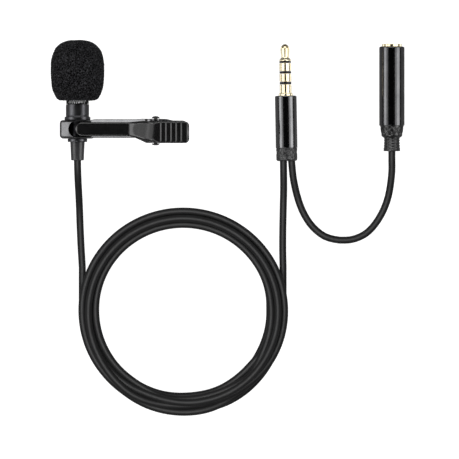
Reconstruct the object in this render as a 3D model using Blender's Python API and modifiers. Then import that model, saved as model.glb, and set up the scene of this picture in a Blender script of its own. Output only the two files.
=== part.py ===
"""Lavalier microphone: foam windscreen, swivelling spring clip, coiled lead, plug and Y-lead socket.

Blender units are metres and +Z is up. Sizes below are in millimetres, and the helpers turn them
into metres. Everything lies on a flat surface at Z = 0: the microphone's axis runs along Y with
its head at +Y, the clip's arm runs along +X, and the lead is coiled in front of them at -Y.
"""
import math

import bmesh
import bpy
from mathutils import Vector

MM = 0.001
PART = "lavalier_microphone"
GAP = 0.3  # clearance between neighbouring pieces
SEAM = 0.12  # clearance at a closed seam between two fixed pieces
CHAMFER = 0.12  # bevel on the edges of small turned pieces
THROUGH = 8.0  # half length of a cutter that passes right through
ALL_OF_IT = 30.0  # thickness of an outline that is intersected with a piece
STEPS = 32  # facets round a turned piece
RING_STEPS = 24  # facets round a small visible turned piece
SMALL_STEPS = 20  # facets round a hidden or very small turned piece

# Microphone: distances along its axis are world Y
MIC_X = -12.5
FOAM_R = 7.85
FOAM_TOP = 17.65
FOAM_WIDEST = 8.7
FOAM_POWER = 2.7
FOAM_LOWER_REACH = 10.5
FOAM_LIP = 0.4  # rounding at the foam's mouth
HEAD_R = 3.33
HEAD_BORE_R = 2.98
HEAD_TOP = 9.2
HEAD_DOME = 2.0
CAP_BOTTOM = 0.55
SPIGOT = 1.4
HOUSING_TOP = -1.2
HOUSING_FLOOR = 0.5
FLANGE_R = 3.8
FLANGE_TOP = -4.85
FLANGE_BOTTOM = -5.55
NECK_R = 2.15
NECK_END_R = 1.7
WIRE_BORE_R = 1.2
COLLAR_R = 2.87
COLLAR_TOP = -11.54
COLLAR_BOTTOM = -12.24
RELIEF_R = 2.05
RELIEF_END_R = 1.8
RELIEF_END = -17.65
CAPSULE_R = 2.45
CAPSULE_BACK = 1.3
CAPSULE_FRONT = 4.0
CAPSULE_LIP = 0.3
FELT_THICKNESS = 0.4
BOARD_THICKNESS = 0.5
MIC_WIRE_R = 0.25

# Clip: x from the microphone's axis, y from the ring's middle, z from the microphone's axis
CLIP_Y = -8.55
RING_R = 5.1
RING_HALF = 2.7
RING_BORE_R = NECK_R + GAP
RING_EDGE = 0.95
WELL_X = -0.25
WELL_FLOOR = 0.8
HOLLOW_START = 6.2
HOLLOW_LENGTH = 11.2
HOLLOW_DEPTH = 4.6
HOLLOW_Z = -0.6
HOLLOW_WALL = 0.7
JAW_Z = 2.95
ARM_UPPER = 2.95  # the arm's two edges, measured from the bar's middle line
ARM_LOWER = -2.5
BAR_START = -0.5
BAR_BOTTOM = JAW_Z + GAP
BAR_TOP = 5.15
BAR_HALF = 2.05
FLARE_START = 15.35
FLARE_END = 23.2
FLARE_EASE = 1.6  # power of the curve that eases the rise into the grip
GRIP_TOP = 8.2
CLIP_END = 32.85
PLATE = 1.3
PIN_X = 23.0
PIN_Z = 3.75
PIN_R = 0.55
PIN_HEAD_R = 1.15
PIN_Y_TOP = 3.85
PIN_Y_BOTTOM = -4.78
PIN_PLAY = 0.15
LUG = 0.65  # thickness of every hinge lug
HOLDER_LUG_R = 1.6
LEVER_LUG_R = 1.3
EAR_TOP = 3.1
EAR_BOTTOM = -4.0
GRIP_RISE = 0.5  # how much higher the grip's end is than its start
GRIP_MIDDLE = -0.97
RIBS = 5
RIB_START = 24.55
RIB_PITCH = 1.5
RIB_SIZE = (0.4, 5.6, 0.5)
TEETH = 5
TOOTH_START = 6.6
TOOTH_PITCH = 1.3
TOOTH_WIDTH = 0.6
TOOTH_DEPTH = 0.5
SPRING_R = 1.05
SPRING_WIRE_R = 0.225
SPRING_TURNS = 4.5
SPRING_FIRST_Y = 1.1
SPRING_LAST_Y = -2.0

# Lead: the coil is eight to nine turns, three side by side
LIFT = 0.02  # how far a piece that lies on the surface is above it
CABLE_R = 1.0
CABLE_Z = CABLE_R + LIFT
CABLE_SPACING = 4.0
COIL_AT = (18.53, -62.0)
COIL_R = 27.75
COIL_WIDTH = 6.2
COIL_HEIGHT = 8.0
COIL_CORNER = 2.2
COIL_STEPS = 48

# Plug: distances run back from its tip
PLUG_AT = (48.4, 16.62)
PLUG_TURN = 1.0  # degrees about Z
PIN_PLUG_R = 1.75
PLUG_BORE_R = 0.7
PLUG_COLLAR_R = 2.06
PLUG_SHELL_R = 3.15
PLUG_SHELL_FRONT = 15.2
PLUG_SHELL_BACK = 30.6
BOOT_FRONT = 27.0
BOOT_END = 34.4
TIP_END = 5.0
TIP_ROD_END = 17.0
POLE_SEAMS = (TIP_END, 5.6, 7.95, 8.7, 11.1, 11.9)
COLLAR_START = 14.5
SLEEVE_END = 18.0
BLOCK_R = 1.9
BLOCK_END = 25.5

# Socket: distances along its axis are world Y
SOCKET_X = 79.88
SOCKET_R = 3.69
SOCKET_BORE_R = 1.8
BUSHING_R = 2.93
BUSHING_FRONT = 16.62
BUSHING_BACK = 12.5
SHELL_FRONT = 15.88
SHELL_BACK = -7.4
SHELL_CHAMFER = 0.3
MOULDING_BACK = -3.5
TAIL_FRONT = -5.0
SOCKET_TAIL = -14.9
CONTACT_PITCH = 2.6
CONTACT_BACK = -2.8

# Materials: colour, roughness, metallic
FOAM = ((0.012, 0.012, 0.013), 0.95, 0.0)
SATIN_BLACK = ((0.05, 0.05, 0.055), 0.35, 1.0)
GLOSS_BLACK = ((0.012, 0.012, 0.014), 0.12, 1.0)
STEEL = ((0.55, 0.55, 0.56), 0.3, 1.0)
GOLD = ((0.83, 0.62, 0.25), 0.2, 1.0)
RUBBER = ((0.022, 0.022, 0.024), 0.6, 0.0)
BLACK_PLASTIC = ((0.01, 0.01, 0.011), 0.4, 0.0)
FELT = ((0.2, 0.2, 0.21), 0.95, 0.0)
BOARD = ((0.02, 0.16, 0.06), 0.5, 0.0)
COPPER = ((0.7, 0.3, 0.15), 0.4, 1.0)


# ---------------------------------------------------------------- helpers

def clear_scene():
    for obj in list(bpy.data.objects):
        bpy.data.objects.remove(obj, do_unlink=True)


def make_collection(name):
    group = bpy.data.collections.new(name)
    bpy.context.scene.collection.children.link(group)
    return group


def make_material(name, look):
    colour, roughness, metallic = look
    material = bpy.data.materials.new(name)
    material.use_nodes = True
    shader = material.node_tree.nodes["Principled BSDF"]
    shader.inputs["Base Color"].default_value = (*colour, 1.0)
    shader.inputs["Roughness"].default_value = roughness
    shader.inputs["Metallic"].default_value = metallic
    return material


def make_empty(name, at, turn=0.0, parent=None):
    empty = bpy.data.objects.new(name, None)
    empty.location = Vector(at) * MM
    empty.rotation_euler.z = math.radians(turn)
    empty.parent = parent
    parts.objects.link(empty)
    return empty


def add_piece(name, data, look, parent, at=(0, 0, 0)):
    """Put one named piece in the part's collection with its own material."""
    piece = bpy.data.objects.new(name, data)
    piece.location = Vector(at) * MM
    piece.parent = parent
    data.materials.append(make_material(name, look))
    parts.objects.link(piece)
    return piece


def turned(name, look, profile, parent, loop=False, steps=STEPS, upright=False, at=(0, 0, 0)):
    """Turned piece from (radius, distance along the axis) points that run down its outer side."""
    count = len(profile)
    edges = [(i, (i + 1) % count) for i in range(count if loop else count - 1)]
    mesh = bpy.data.meshes.new(name)
    mesh.from_pydata([(r * MM, 0, h * MM) for r, h in profile], edges, [])
    piece = add_piece(name, mesh, look, parent, at)
    piece.rotation_euler.x = 0.0 if upright else -math.pi / 2
    screw = piece.modifiers.new("turn", "SCREW")
    screw.steps = steps
    screw.render_steps = steps
    screw.use_merge_vertices = True
    screw.merge_threshold = 0.00001
    screw.use_smooth_shade = True
    return piece


def slab(name, look, outline, thickness, parent, at=(0, 0, 0), side=True):
    """Flat outline made thick: in the XZ plane if side is set, and otherwise in XY."""
    curve = bpy.data.curves.new(name, "CURVE")
    curve.dimensions = "2D"
    curve.fill_mode = "BOTH"
    curve.extrude = thickness / 2 * MM
    spline = curve.splines.new("POLY")
    spline.points.add(len(outline) - 1)
    for point, (x, y) in zip(spline.points, outline):
        point.co = (x * MM, y * MM, 0, 1)
    spline.use_cyclic_u = True
    flat = add_piece(name + "_outline", curve, look, parent, at)
    flat.rotation_euler.x = math.pi / 2 if side else 0.0
    return as_mesh(flat, name, look)


def as_mesh(curve_piece, name, look):
    """Replace a curve object by a mesh object whose caps are welded."""
    bpy.context.view_layer.update()
    evaluated = curve_piece.evaluated_get(bpy.context.evaluated_depsgraph_get())
    mesh = bpy.data.meshes.new_from_object(evaluated)
    work = bmesh.new()
    work.from_mesh(mesh)
    bmesh.ops.remove_doubles(work, verts=work.verts, dist=0.000001)
    work.to_mesh(mesh)
    work.free()
    mesh.materials.clear()
    piece = add_piece(name, mesh, look, curve_piece.parent)
    piece.matrix_world = curve_piece.matrix_world
    bpy.data.objects.remove(curve_piece)
    return piece


def tube(name, look, points, radius, parent=None, at=(0, 0, 0)):
    """Round wire or cable along points in millimetres, with closed ends."""
    curve = bpy.data.curves.new(name, "CURVE")
    curve.dimensions = "3D"
    curve.bevel_depth = radius * MM
    curve.bevel_resolution = 2
    curve.use_fill_caps = True
    spline = curve.splines.new("POLY")
    spline.points.add(len(points) - 1)
    for point, place in zip(spline.points, points):
        point.co = (*(Vector(place) * MM), 1)
    return add_piece(name, curve, look, parent, at)


def box(name, centre, size, parent):
    """Box with its size applied, for a cutter or a piece of a joined body."""
    mesh = bpy.data.meshes.new(name)
    work = bmesh.new()
    bmesh.ops.create_cube(work, size=MM)
    bmesh.ops.scale(work, vec=Vector(size), verts=work.verts)
    work.to_mesh(mesh)
    work.free()
    return add_piece(name, mesh, STEEL, parent, centre)


def combine(target, other, operation):
    """Join, cut or intersect target with another object, which becomes a hidden guide."""
    modifier = target.modifiers.new(other.name, "BOOLEAN")
    modifier.operation = operation
    modifier.solver = "EXACT"
    modifier.object = other
    if other.name in parts.objects:
        parts.objects.unlink(other)
        cutters.objects.link(other)
    other.hide_render = True
    other.display_type = "WIRE"


def shade_round(piece):
    """Smooth shading on a mesh piece, with its edges over 35 degrees kept sharp."""
    piece.data.shade_smooth()
    piece.data.set_sharp_from_angle(angle=math.radians(35))


def arc(x, y, radius, start, end, steps):
    """Points on a circle from one angle to another, in degrees."""
    angles = [math.radians(start + (end - start) * i / steps) for i in range(steps + 1)]
    return [(x + radius * math.cos(a), y + radius * math.sin(a)) for a in angles]


def rounded(corners, steps=4):
    """Outline from (x, y, corner radius) points, with an arc at each corner that has a radius."""
    outline = []
    for i, (x, y, radius) in enumerate(corners):
        here = Vector((x, y))
        before = (Vector(corners[i - 1][:2]) - here).normalized()
        after = (Vector(corners[(i + 1) % len(corners)][:2]) - here).normalized()
        if not radius:
            outline.append((x, y))
            continue
        half = before.angle(after) / 2
        middle = here + (before + after).normalized() * (radius / math.sin(half))
        first = here + before * (radius / math.tan(half)) - middle
        last = here + after * (radius / math.tan(half)) - middle
        for k in range(steps + 1):
            mix = first.slerp(last, k / steps)
            outline.append(tuple(middle + mix))
    return outline


def moved(outline, dx, dy):
    return [(x - dx, y - dy) for x, y in outline]


def smooth_route(knots, spacing):
    """Evenly spaced points on a smooth (Catmull-Rom) curve through the knots."""
    ends = [2 * Vector(knots[0]) - Vector(knots[1])]
    ends += [Vector(k) for k in knots]
    ends += [2 * Vector(knots[-1]) - Vector(knots[-2])]
    fine = []
    for a, b, c, d in zip(ends, ends[1:], ends[2:], ends[3:]):
        for k in range(20):
            t = k / 20
            fine.append(0.5 * (2 * b + (c - a) * t + (2 * a - 5 * b + 4 * c - d) * t ** 2
                               + (3 * b - a - 3 * c + d) * t ** 3))
    fine.append(Vector(knots[-1]))
    reach = [0.0]
    for a, b in zip(fine, fine[1:]):
        reach.append(reach[-1] + (b - a).length)
    count = max(2, round(reach[-1] / spacing))
    route = []
    k = 0
    for i in range(count + 1):
        want = reach[-1] * i / count
        while k < len(fine) - 2 and reach[k + 1] < want:
            k += 1
        share = (want - reach[k]) / (reach[k + 1] - reach[k])
        route.append(tuple(fine[k].lerp(fine[k + 1], share)))
    return route


# ---------------------------------------------------------------- microphone

def foam_radius(y):
    """Outer radius of the windscreen: a rounded egg, fuller than an ellipse, blunt at its mouth."""
    reach = FOAM_TOP - FOAM_WIDEST if y > FOAM_WIDEST else FOAM_LOWER_REACH
    share = abs(y - FOAM_WIDEST) / reach
    return FOAM_R * max(0.0, 1 - share ** FOAM_POWER) ** (1 / FOAM_POWER)


def make_windscreen(parent):
    upper = [FOAM_WIDEST + (FOAM_TOP - FOAM_WIDEST) * math.cos(math.radians(a))
             for a in range(0, 90, 10)]
    lower = [FOAM_WIDEST * k / 8 for k in range(8, 0, -1)]
    outer = [(foam_radius(y), y) for y in upper + lower]
    mouth = [(foam_radius(FOAM_LIP), FOAM_LIP), (foam_radius(0) - FOAM_LIP, 0.0),
             (HEAD_R + GAP, 0.0)]
    bore_top = HEAD_TOP + GAP
    bore = [(HEAD_R + GAP, bore_top - HEAD_DOME), (HEAD_R - 0.9, bore_top - 0.4), (0.0, bore_top)]
    turned("windscreen", FOAM, outer + mouth + bore, parent)


def make_grille(parent):
    """Domed head cap over the capsule, and the textured band whose spigot enters the housing."""
    springing = HEAD_TOP - HEAD_DOME
    inner_dome = HEAD_DOME - (HEAD_R - HEAD_BORE_R)
    turns = [math.radians(18 * k) for k in range(6)]
    outer = [(HEAD_R * math.sin(a), springing + HEAD_DOME * math.cos(a)) for a in turns]
    inner = [(HEAD_BORE_R * math.sin(a), springing + inner_dome * math.cos(a))
             for a in reversed(turns)]
    rim = [(HEAD_R, CAP_BOTTOM), (HEAD_BORE_R, CAP_BOTTOM)]
    turned("grille_cap", STEEL, outer + rim + inner, parent, steps=RING_STEPS)
    band_top = CAP_BOTTOM - SEAM
    band_bottom = HOUSING_TOP + SEAM
    spigot_r = HEAD_BORE_R - SEAM
    spigot_bore_r = CAPSULE_R + SEAM
    band = [(HEAD_R, band_top), (HEAD_R, band_bottom), (spigot_r, band_bottom),
            (spigot_r, band_bottom - SPIGOT), (spigot_bore_r, band_bottom - SPIGOT),
            (spigot_bore_r, band_top)]
    turned("grille_band", STEEL, band, parent, loop=True, steps=RING_STEPS)


def make_housing(parent):
    """Barrel, flange and neck in one piece, with its collar and the cable's strain relief."""
    floor = FLANGE_TOP + HOUSING_FLOOR
    profile = [(HEAD_R, HOUSING_TOP), (HEAD_R, FLANGE_TOP), (FLANGE_R, FLANGE_TOP - CHAMFER),
               (FLANGE_R, FLANGE_BOTTOM), (NECK_R, FLANGE_BOTTOM),
               (NECK_R, COLLAR_TOP + SEAM), (NECK_END_R, COLLAR_TOP + SEAM),
               (NECK_END_R, COLLAR_BOTTOM), (WIRE_BORE_R, COLLAR_BOTTOM),
               (WIRE_BORE_R, floor), (HEAD_BORE_R, floor), (HEAD_BORE_R, HOUSING_TOP)]
    turned("mic_housing", SATIN_BLACK, profile, parent, loop=True)
    collar = [(COLLAR_R - CHAMFER, COLLAR_TOP), (COLLAR_R, COLLAR_TOP - CHAMFER),
              (COLLAR_R, COLLAR_BOTTOM + CHAMFER), (COLLAR_R - CHAMFER, COLLAR_BOTTOM),
              (NECK_END_R + SEAM, COLLAR_BOTTOM), (NECK_END_R + SEAM, COLLAR_TOP)]
    turned("retaining_collar", SATIN_BLACK, collar, parent, loop=True, steps=RING_STEPS)
    top = COLLAR_BOTTOM - SEAM
    relief = [(0.0, top), (RELIEF_R, top), (RELIEF_END_R, RELIEF_END + CHAMFER),
              (RELIEF_END_R - CHAMFER, RELIEF_END), (0.0, RELIEF_END)]
    turned("strain_relief", RUBBER, relief, parent, steps=RING_STEPS)


def make_capsule(parent):
    """Electret capsule with its felt, gasket, board and two wires down to the cable."""
    face = CAPSULE_FRONT - CAPSULE_LIP
    lip_r = CAPSULE_R - 0.5
    can = [(0.0, face), (lip_r, face), (lip_r, CAPSULE_FRONT), (CAPSULE_R, CAPSULE_FRONT),
           (CAPSULE_R, CAPSULE_BACK), (0.0, CAPSULE_BACK)]
    turned("capsule", STEEL, can, parent, steps=SMALL_STEPS)
    gasket_r = HEAD_BORE_R - SEAM
    gasket_bore_r = CAPSULE_R + SEAM
    gasket_top = CAPSULE_FRONT - 0.4
    gasket_bottom = CAPSULE_BACK + 0.4
    gasket = [(gasket_r, gasket_top), (gasket_r, gasket_bottom),
              (gasket_bore_r, gasket_bottom), (gasket_bore_r, gasket_top)]
    turned("capsule_gasket", RUBBER, gasket, parent, loop=True, steps=SMALL_STEPS)
    disc("capsule_felt", FELT, CAPSULE_FRONT + GAP + FELT_THICKNESS, FELT_THICKNESS, parent)
    board_top = CAPSULE_BACK - GAP
    disc("capsule_board", BOARD, board_top, BOARD_THICKNESS, parent)
    wire_top = board_top - BOARD_THICKNESS - SEAM
    for side, name in ((-1, "signal_wire"), (1, "ground_wire")):
        knots = [(side * 1.2, wire_top, 0), (side * 0.9, -2.0, 0), (side * 0.55, -4.5, 0),
                 (side * 0.55, COLLAR_BOTTOM + 0.2, 0)]
        tube(name, COPPER, smooth_route(knots, 1.5), MIC_WIRE_R, parent)


def disc(name, look, top, thickness, parent):
    """Disc of the capsule's diameter, below the given distance along the axis."""
    profile = [(0.0, top), (CAPSULE_R, top), (CAPSULE_R, top - thickness), (0.0, top - thickness)]
    turned(name, look, profile, parent, steps=SMALL_STEPS)


# ---------------------------------------------------------------- clip

def make_holder(parent):
    """Ring, jaw arm, hinge lugs and thumb lever in one piece: a side outline cut by a plan."""
    side = [(2.6, JAW_Z), (19.8, JAW_Z), (20.6, PIN_Z - 1.8), (23.6, PIN_Z - 2.0),
            (32.1, -2.45), (31.6, -3.5), (23.2, 0.6), (20.0, 0.6), (17.5, -0.1), (2.6, -0.1)]
    holder = slab("clip_holder", GLOSS_BLACK, side, 20, parent)
    plan = rounded([(2.0, -2.3, 0), (5.0, ARM_LOWER, 0), (17.0, ARM_LOWER, 0),
                    (20.2, EAR_BOTTOM, 0), (26.0, EAR_BOTTOM, 0), (28.0, -3.55, 0),
                    (33.0, -3.55, 1.3), (33.0, 2.65, 1.3), (28.0, 2.65, 0), (26.0, EAR_TOP, 0),
                    (19.0, EAR_TOP, 0), (17.0, ARM_UPPER, 0), (5.0, ARM_UPPER, 0),
                    (2.0, 2.7, 0)])
    combine(holder, slab("holder_plan", STEEL, plan, ALL_OF_IT, parent, side=False), "INTERSECT")
    combine(holder, ring_block(parent), "UNION")
    for name, y in (("upper", EAR_TOP - LUG / 2 - 0.05), ("lower", EAR_BOTTOM + LUG / 2 + 0.05)):
        lug = [(PIN_X - 1.9, 1.2), (PIN_X + 1.9, 1.2)]
        lug += arc(PIN_X, PIN_Z, HOLDER_LUG_R, 0, 180, 8)
        combine(holder, slab("holder_lug_" + name, STEEL, lug, LUG, parent, (0, y, 0)), "UNION")
    cut_holder(holder, parent)
    shade_round(holder)


def ring_block(parent):
    """The holder's ring: round behind, with a flat sloping face where it is away from the arm."""
    outline = [(x, z, 0) for x, z in arc(0, 0, RING_R, -118, 118, 24)]
    outline += [(-4.8, 3.1, 0.5), (-5.15, 2.4, 0.4), (-5.15, -2.4, 0.4), (-4.6, -3.2, 0.4)]
    ring = slab("holder_ring", STEEL, rounded(outline), 2 * RING_HALF, parent)
    far = RING_R + 0.5
    plan = [(far, -RING_HALF, RING_EDGE), (far, RING_HALF, RING_EDGE),
            (-5.15, RING_HALF, RING_EDGE), (-5.15, -RING_HALF, RING_EDGE)]
    combine(ring, slab("ring_plan", STEEL, rounded(plan), ALL_OF_IT, parent, side=False),
            "INTERSECT")
    return ring


def cut_holder(holder, parent):
    """Bore, recess for the bar's end, hollow back, jaw grooves and pin hole."""
    bore = [(0.0, THROUGH), (RING_BORE_R, THROUGH), (RING_BORE_R, -THROUGH), (0.0, -THROUGH)]
    combine(holder, turned("holder_bore", STEEL, bore, parent), "DIFFERENCE")
    well_r = BAR_HALF + GAP
    well = [(0.0, THROUGH), (well_r, THROUGH), (well_r, WELL_FLOOR), (0.0, WELL_FLOOR)]
    combine(holder, turned("holder_well", STEEL, well, parent, upright=True, steps=RING_STEPS,
                           at=(WELL_X, 0, 0)), "DIFFERENCE")
    slot_width = 2 * (BAR_HALF + 0.25)
    combine(holder, box("holder_slot", (4.0, 0, JAW_Z + 2.02), (8.0, slot_width, 4.0), parent),
            "DIFFERENCE")
    hollow_width = 2 * (-ARM_LOWER - HOLLOW_WALL)
    combine(holder, box("holder_back", (HOLLOW_START + HOLLOW_LENGTH / 2, 0, HOLLOW_Z),
                        (HOLLOW_LENGTH, hollow_width, HOLLOW_DEPTH), parent), "DIFFERENCE")
    for k in range(TEETH):
        groove = box(f"holder_groove_{k + 1}", (TOOTH_START + TOOTH_PITCH * k, 0, JAW_Z),
                     (TOOTH_WIDTH, 2 * BAR_HALF - 0.6, TOOTH_DEPTH), parent)
        combine(holder, groove, "DIFFERENCE")
    combine(holder, pin_hole("holder_pin_hole", parent, (PIN_X, 0, PIN_Z)), "DIFFERENCE")


def pin_hole(name, parent, at=(0, 0, 0)):
    radius = PIN_R + PIN_PLAY
    profile = [(0.0, THROUGH), (radius, THROUGH), (radius, -THROUGH), (0.0, -THROUGH)]
    return turned(name, STEEL, profile, parent, steps=SMALL_STEPS, at=at)


def flare(base, top, steps=7):
    """Points of the lever's rise from its bar: steepest at the start, easing into the grip."""
    points = []
    for k in range(steps + 1):
        t = k / steps
        x = FLARE_START + (FLARE_END - FLARE_START) * t
        points.append((x, base + (top - base) * (1 - (1 - t) ** FLARE_EASE)))
    return points


def make_lever(parent):
    """Front bar, flare and ribbed grip in one piece, turning on the pin."""
    grip_end = GRIP_TOP + GRIP_RISE
    upper = [(BAR_START, BAR_TOP)] + flare(BAR_TOP, GRIP_TOP) + [(CLIP_END, grip_end)]
    lower = [(CLIP_END, grip_end - PLATE)] + [
        (x + 0.5, z) for x, z in reversed(flare(BAR_BOTTOM, GRIP_TOP - PLATE - 0.4))]
    side = moved(upper + lower + [(BAR_START, BAR_BOTTOM)], PIN_X, PIN_Z)
    lever = slab("clip_lever", GLOSS_BLACK, side, 20, parent)
    plan = rounded([(BAR_START, -BAR_HALF, 1.35), (FLARE_START, -BAR_HALF, 0),
                    (19.65, -3.45, 2.0), (22.0, -3.75, 0), (23.4, -4.15, 0),
                    (CLIP_END, -4.15, 1.3), (CLIP_END, 2.2, 1.3), (22.4, 2.15, 0),
                    (19.4, 2.45, 2.0), (FLARE_START, BAR_HALF, 0), (BAR_START, BAR_HALF, 1.35)])
    combine(lever, slab("lever_plan", STEEL, moved(plan, PIN_X, 0), ALL_OF_IT, parent, side=False),
            "INTERSECT")
    lug = [(-2.0, 2.6), (2.4, 3.1)] + arc(0, 0, LEVER_LUG_R, 0, -180, 8)
    for name, y in (("upper", EAR_TOP - LUG * 1.5 - GAP), ("lower", EAR_BOTTOM + LUG * 1.5 + GAP)):
        combine(lever, slab("lever_lug_" + name, STEEL, lug, LUG, parent, (0, y, 0)), "UNION")
    for k in range(RIBS):
        x = RIB_START + RIB_PITCH * k
        z = GRIP_TOP + GRIP_RISE * (x - FLARE_END) / (CLIP_END - FLARE_END)
        rib = box(f"lever_rib_{k + 1}", (x - PIN_X, GRIP_MIDDLE, z - PIN_Z), RIB_SIZE, parent)
        combine(lever, rib, "UNION")
    for k in range(TEETH):
        x = TOOTH_START + TOOTH_PITCH * k
        groove = box(f"lever_groove_{k + 1}", (x - PIN_X, 0, BAR_BOTTOM - PIN_Z),
                     (TOOTH_WIDTH, THROUGH, TOOTH_DEPTH), parent)
        combine(lever, groove, "DIFFERENCE")
    combine(lever, pin_hole("lever_pin_hole", parent), "DIFFERENCE")
    shade_round(lever)


def make_pin(parent):
    """Hinge pin with a head at each end, outside the holder's lugs."""
    top = EAR_TOP + 0.2
    bottom = EAR_BOTTOM - 0.2
    edge_r = PIN_HEAD_R - CHAMFER
    profile = [(0.0, PIN_Y_TOP), (edge_r, PIN_Y_TOP), (PIN_HEAD_R, PIN_Y_TOP - CHAMFER),
               (PIN_HEAD_R, top), (PIN_R, top), (PIN_R, bottom), (PIN_HEAD_R, bottom),
               (PIN_HEAD_R, PIN_Y_BOTTOM + CHAMFER), (edge_r, PIN_Y_BOTTOM),
               (0.0, PIN_Y_BOTTOM)]
    turned("clip_pin", SATIN_BLACK, profile, parent, steps=SMALL_STEPS)


def make_spring(parent):
    """Torsion spring round the pin: one leg under the thumb plate, one under the grip."""
    steps = round(SPRING_TURNS * 12)
    coil = []
    for k in range(steps + 1):
        angle = -math.pi / 2 - 2 * math.pi * SPRING_TURNS * k / steps
        y = SPRING_FIRST_Y + (SPRING_LAST_Y - SPRING_FIRST_Y) * k / steps
        coil.append((SPRING_R * math.cos(angle), y, SPRING_R * math.sin(angle)))
    low_leg = [(5.0, SPRING_FIRST_Y, -3.5), (0.9, SPRING_FIRST_Y, -1.2)]
    high_leg = [(0.9, SPRING_LAST_Y, 1.15), (4.3, SPRING_LAST_Y, 2.35)]
    tube("clip_spring", STEEL, low_leg + coil + high_leg, SPRING_WIRE_R, parent)


# ---------------------------------------------------------------- lead

def make_lead():
    """Loose runs of cable on the surface, and the solid that stands for the wound coil."""
    mic_z = FOAM_R
    mic_run = [(MIC_X, RELIEF_END - GAP, mic_z), (-12.45, -20.5, 7.6), (-12.35, -24.0, 6.2),
               (-12.2, -27.5, 4.2), (-12.05, -31.5, 2.2), (-11.9, -36.5, 1.15),
               (-11.62, -42.8, CABLE_Z), (-11.25, -49.0, CABLE_Z)]
    tube("cable_mic_lead", RUBBER, smooth_route(mic_run, CABLE_SPACING), CABLE_R)
    plug_z = PLUG_SHELL_R + LIFT
    plug_run = [(47.99, -18.1, plug_z), (48.04, -22.0, 2.75), (48.06, -26.3, 1.75),
                (47.97, -30.7, 1.15), (47.82, -38.1, CABLE_Z), (47.8, -44.0, CABLE_Z),
                (47.9, -48.7, CABLE_Z)]
    tube("cable_plug_lead", RUBBER, smooth_route(plug_run, CABLE_SPACING), CABLE_R)
    socket_z = SOCKET_R + LIFT
    pigtail = [(50.4, -18.1, plug_z), (50.91, -22.9, 2.65), (52.18, -28.5, 1.5),
               (53.88, -33.0, 1.1), (56.41, -36.9, CABLE_Z), (59.79, -39.76, CABLE_Z),
               (63.18, -40.88, CABLE_Z), (65.97, -41.09, CABLE_Z), (68.79, -40.74, CABLE_Z),
               (72.18, -39.2, CABLE_Z), (74.97, -36.4, 1.05), (77.5, -32.15, 1.15),
               (79.06, -27.4, 1.7), (79.85, -21.5, 2.9), (SOCKET_X, -17.6, 3.55),
               (SOCKET_X, SOCKET_TAIL - GAP, socket_z)]
    tube("cable_pigtail", RUBBER, smooth_route(pigtail, CABLE_SPACING), CABLE_R)
    x = COIL_WIDTH / 2 - COIL_CORNER
    z = COIL_HEIGHT / 2 - COIL_CORNER
    section = (arc(x, z, COIL_CORNER, 90, 0, 3) + arc(x, -z, COIL_CORNER, 0, -90, 3)
               + arc(-x, -z, COIL_CORNER, -90, -180, 3) + arc(-x, z, COIL_CORNER, 180, 90, 3))
    section = [(COIL_R + r, COIL_HEIGHT / 2 + LIFT + h) for r, h in section]
    turned("cable_coil", RUBBER, section, None, loop=True, steps=COIL_STEPS, upright=True,
           at=(*COIL_AT, 0))


# ---------------------------------------------------------------- plug

def plug_sleeve_part(name, look, start, end, parent):
    """Ring of the plug's contact pin between two distances back from the tip."""
    profile = [(PIN_PLUG_R, -start), (PIN_PLUG_R, -end), (PLUG_BORE_R, -end),
               (PLUG_BORE_R, -start)]
    turned(name, look, profile, parent, loop=True, steps=RING_STEPS)


def make_plug(parent):
    """Four-pole plug: tip rod, three insulators, two rings and a sleeve, in a shell with a boot."""
    rod_r = PLUG_BORE_R - GAP
    tip = [(0.0, 0.0), (0.45, -0.06), (0.95, -0.5), (1.35, -1.2), (1.33, -2.4), (1.15, -4.0),
           (1.6, -4.55), (PIN_PLUG_R, -4.85), (PIN_PLUG_R, -TIP_END), (rod_r, -TIP_END),
           (rod_r, -TIP_ROD_END), (0.0, -TIP_ROD_END)]
    turned("plug_tip", GOLD, tip, parent, steps=RING_STEPS)
    names = ["plug_insulator_1", "plug_ring_1", "plug_insulator_2", "plug_ring_2",
             "plug_insulator_3"]
    for k, name in enumerate(names):
        look = BLACK_PLASTIC if "insulator" in name else GOLD
        plug_sleeve_part(name, look, POLE_SEAMS[k] + SEAM / 2, POLE_SEAMS[k + 1] - SEAM / 2, parent)
    start = POLE_SEAMS[-1] + SEAM / 2
    sleeve = [(PIN_PLUG_R, -start), (PIN_PLUG_R, -COLLAR_START),
              (PLUG_COLLAR_R, -COLLAR_START - 0.05), (PLUG_COLLAR_R, -SLEEVE_END),
              (PLUG_BORE_R, -SLEEVE_END), (PLUG_BORE_R, -start)]
    turned("plug_sleeve", GOLD, sleeve, parent, loop=True, steps=RING_STEPS)
    block_start = SLEEVE_END + GAP
    block = [(0.0, -block_start), (BLOCK_R, -block_start), (BLOCK_R, -BLOCK_END), (0.0, -BLOCK_END)]
    turned("plug_terminal_block", BLACK_PLASTIC, block, parent, steps=SMALL_STEPS)
    bore = PLUG_COLLAR_R + 0.2
    shell = [(PLUG_SHELL_R - SHELL_CHAMFER, -PLUG_SHELL_FRONT),
             (PLUG_SHELL_R, -PLUG_SHELL_FRONT - SHELL_CHAMFER),
             (PLUG_SHELL_R, -PLUG_SHELL_BACK), (bore, -PLUG_SHELL_BACK),
             (bore, -PLUG_SHELL_FRONT)]
    turned("plug_shell", GLOSS_BLACK, shell, parent, loop=True)
    start = PLUG_SHELL_BACK + SEAM
    radius = PLUG_SHELL_R - 0.05
    spigot_r = bore - 0.2
    corner = arc(radius - 1.0, -BOOT_END + 1.0, 1.0, 0, -90, 4)
    boot = [(0.0, -BOOT_FRONT), (spigot_r, -BOOT_FRONT), (spigot_r, -start), (radius, -start)]
    turned("plug_boot", RUBBER, boot + corner + [(0.0, -BOOT_END)], parent)


# ---------------------------------------------------------------- socket

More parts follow.
